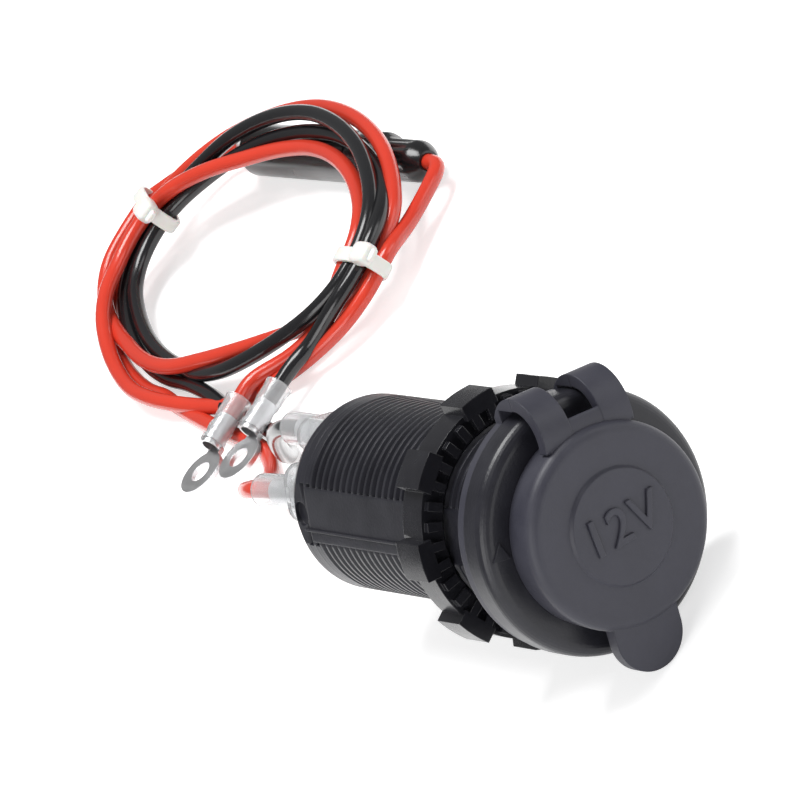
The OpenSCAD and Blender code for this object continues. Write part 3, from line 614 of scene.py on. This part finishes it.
# Plates on the barrel's two flats: half sizes of the section, distance out from the axis, and ends
PLATE_HALF, PLATE_OUT, PLATE_FRONT_Z, PLATE_REAR_Z = (4.1, 0.17), 13.38, -3.1, {1: -50.6, -1: -52.8}
# Bands between the flats at the rear: half sizes of the section, radius, middle, and half turn in degrees
BAND_HALF, BAND_R, BAND_Z, BAND_HALF_TURN = (0.42, 2.1), 13.77, -50.9, 71


def barrel_faces():
    """The barrel's smooth faces: a thin plate along each flat, and a rear band between the flats.

    A plate is a rounded rectangle carried along the axis, and a band its section carried round an arc."""
    place = socket_place(FLAT_TURN)
    parts = []
    for side, rear_z in PLATE_REAR_Z.items():
        edge = rounded_outline(PLATE_HALF)
        z = np.linspace(PLATE_FRONT_Z, rear_z, 24)[:, None] + 0 * edge[None, :, 0]
        plate = np.stack([0 * z + edge[:, 0], 0 * z + side * PLATE_OUT + edge[:, 1], z], -1)
        parts.append(surface("barrel_faces", placed(plate, place)))
        edge = rounded_outline(BAND_HALF)
        a = np.radians(np.linspace(-BAND_HALF_TURN, BAND_HALF_TURN, 60))[:, None]
        r = BAND_R + edge[None, :, 0]
        z = BAND_Z + edge[None, :, 1] + 0 * a
        band = np.stack([side * r * np.cos(a), side * r * np.sin(a), z], -1)
        parts.append(surface("barrel_faces", placed(band, place)))
    faces = tune_normals(joined("barrel_faces", parts))
    faces.data.materials.append(housing_plastic)
    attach(faces, "socket")


# The fuse holder's slim end: where its grip starts and stops and how fast, and the flutes round it
GRIP_START, GRIP_STOP, GRIP_FADE = 2.9, 11.2, 0.5
FLUTES, FLUTE_DEPTH = 12, 0.28


def slim_holder_cap():
    """The fuse holder's near end: a turned cap with a thin tail for the lead, a fluted grip and a skirt.

    Its wall is a profile of radius over length, out and back again, and the flutes are
    cubed cosine dips round the grip."""
    outside = np.array([
        (0.0, 1.8), (0.35, 2.15), (2.0, 3.1), (2.7, 3.35), (3.4, 3.4), (7.0, 3.4), (10.6, 3.4), (11.4, 3.45),
        (12.0, 3.7), (12.6, 4.15), (13.2, 4.3), (16.0, 4.3), (19.5, 4.3), (19.9, 4.15)])
    inside = np.array([
        (19.9, 4.0), (16.0, 4.0), (13.4, 3.95), (12.7, 3.6), (12.0, 3.0), (7.0, 2.9), (3.2, 2.8), (2.0, 1.45),
        (0.0, 1.4)])
    along, radius = np.vstack([outside, inside]).T
    a = np.linspace(0, 2 * np.pi, 72, endpoint=False)
    grip = np.clip((along - GRIP_START) / GRIP_FADE, 0, 1) * np.clip((GRIP_STOP - along) / GRIP_FADE, 0, 1)
    grip[len(outside):] = 0
    r = radius[:, None] - FLUTE_DEPTH * grip[:, None] * np.abs(np.cos(FLUTES / 2 * a))**3
    grid = np.stack([r * np.cos(a), r * np.sin(a), along[:, None] + 0 * a], -1)
    on_holder = Matrix.Translation((HOLDER_X, HOLDER_Y, HOLDER_Z)) @ Matrix.Rotation(-math.pi / 2, 4, "X")
    cap = tune_normals(surface("slim_holder_cap", placed(grid, on_holder), loop=True))
    cap.data.materials.append(holder_plastic)
    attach(cap, "holder_cap")
    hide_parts("fuse_holder_cap")


# The web between the cap's straps: middle and half of its angle on their arch, how far its faces
# lie under theirs, and how far its ends reach into them
WEB_MIDDLE, WEB_HALF = math.radians(83.0), math.radians(13.0)
WEB_SKIN, WEB_REACH = 0.03, 0.2


def strap_web():
    """The rubber web between the cap's two straps.

    It is a rounded section of the straps' own arch, carried across the gap."""
    edge = rounded_outline((1.0, 1.0), power=6.0)
    angle = WEB_MIDDLE + WEB_HALF * edge[:, 0]
    r = ARCH_R - STRAP_T / 2 + (STRAP_T / 2 - WEB_SKIN) * edge[:, 1]
    x = np.linspace(-STRAP_GAP / 2 - WEB_REACH, STRAP_GAP / 2 + WEB_REACH, 12)[:, None]
    grid = np.stack([x + 0 * r, ARCH_Y + r * np.cos(angle) + 0 * x, ARCH_Z + r * np.sin(angle) + 0 * x], -1)
    web = tune_normals(surface("cap_strap_web", placed(grid, socket_place(HINGE_TURN))))
    web.data.materials.append(cap_rubber)
    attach(web, "cap")


barrel_faces()
slim_holder_cap()
strap_web()

# Finishes and rides of the leads, with the solids that they replace hidden
for piece, slot_name, finish in (
        ("red_lead", "red_insulation", red_insulation),
        ("black_lead", "black_insulation", black_insulation),
        ("red_supply", "red_insulation", red_insulation)):
    lead_pieces[piece][0].data.materials.append(finish)
    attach(lead_pieces[piece][0], "socket")
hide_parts("red_socket_lead", "lead_hank", "red_fuse_lead_far")
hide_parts("black_socket_lead", "lead_hank", "black_supply_lead")
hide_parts("red_fuse_lead_near", "lead_hank", "red_supply_lead")


# Stage and light: half the floor's side and its drop under the object, in metres, and its glow
FLOOR_HALF, FLOOR_DROP, FLOOR_GLOW = 4, 0.00005, 0.62
# The world's strength on the object, and as the camera sees it
WORLD_LIGHT, WORLD_SEEN = 0.24, 1.0
MIDDLE = (0.02, 0.07, -0.01)


def floor_and_backdrop():
    """A wide pale floor that looks near white to the camera, in gloss and through glass.

    It keeps the object's soft shadow, and its glow puts no light on the object's matt surfaces."""
    mesh = bpy.data.meshes.new("floor")
    corners = [(-FLOOR_HALF, -FLOOR_HALF, 0), (FLOOR_HALF, -FLOOR_HALF, 0),
               (FLOOR_HALF, FLOOR_HALF, 0), (-FLOOR_HALF, FLOOR_HALF, 0)]
    mesh.from_pydata(corners, [], [(0, 1, 2, 3)])
    mesh.transform(Matrix.Translation((0, 0, FLOOR_Z * MM - FLOOR_DROP)))
    obj = bpy.data.objects.new("floor", mesh)
    bpy.context.scene.collection.objects.link(obj)
    finish = Finish("floor_white")
    add, link, shader = finish.add, finish.link, finish.shader
    path = add("ShaderNodeLightPath")
    glow = add("ShaderNodeEmission", Strength=FLOOR_GLOW)
    both = add("ShaderNodeAddShader")
    pick = add("ShaderNodeMixShader")
    mirrored = add("ShaderNodeMath", operation="MAXIMUM")
    link(path.outputs["Is Glossy Ray"], mirrored.inputs[0])
    link(path.outputs["Is Transmission Ray"], mirrored.inputs[1])
    seen = add("ShaderNodeMath", operation="MAXIMUM")
    link(path.outputs["Is Camera Ray"], seen.inputs[0])
    link(mirrored.outputs["Value"], seen.inputs[1])
    finish.settle(Base_Color=(0.8, 0.8, 0.8, 1), Roughness=0.9, Specular_IOR_Level=0.0)
    link(shader.outputs["BSDF"], both.inputs[0])
    link(glow.outputs["Emission"], both.inputs[1])
    link(seen.outputs["Value"], pick.inputs["Fac"])
    link(shader.outputs["BSDF"], pick.inputs[1])
    link(both.outputs["Shader"], pick.inputs[2])
    link(pick.outputs["Shader"], finish.nodes["Material Output"].inputs["Surface"])
    mesh.materials.append(finish.material)


def soft_light(name, place, size, power):
    """A square soft box that faces the object's middle."""
    data = bpy.data.lights.new(name, "AREA")
    data.shape, data.size, data.energy = "SQUARE", size, power
    obj = bpy.data.objects.new(name, data)
    bpy.context.scene.collection.objects.link(obj)
    obj.location = place
    obj.rotation_mode = "QUATERNION"
    obj.rotation_quaternion = (Vector(MIDDLE) - Vector(place)).to_track_quat("-Z", "Y")


def world_light():
    """White light from all round at a plain level, which the camera sees as a white background."""
    world = bpy.data.worlds.new("studio")
    bpy.context.scene.world = world
    world.use_nodes = True
    tree = world.node_tree
    ground = tree.nodes["Background"]
    path = tree.nodes.new("ShaderNodeLightPath")
    pick = tree.nodes.new("ShaderNodeMapRange")
    pick.inputs["To Min"].default_value = WORLD_LIGHT
    pick.inputs["To Max"].default_value = WORLD_SEEN
    tree.links.new(path.outputs["Is Camera Ray"], pick.inputs["Value"])
    tree.links.new(pick.outputs["Result"], ground.inputs["Strength"])
    ground.inputs["Color"].default_value = (1, 1, 1, 1)


floor_and_backdrop()
world_light()
soft_light("key", (0.15, 0.15, 0.75), size=0.4, power=6.4)
soft_light("fill", (-0.75, -0.35, 0.35), size=0.6, power=4.2)
soft_light("side", (0.7, -0.5, 0.3), size=0.5, power=1.6)
bpy.context.scene.view_settings.view_transform = "Standard"
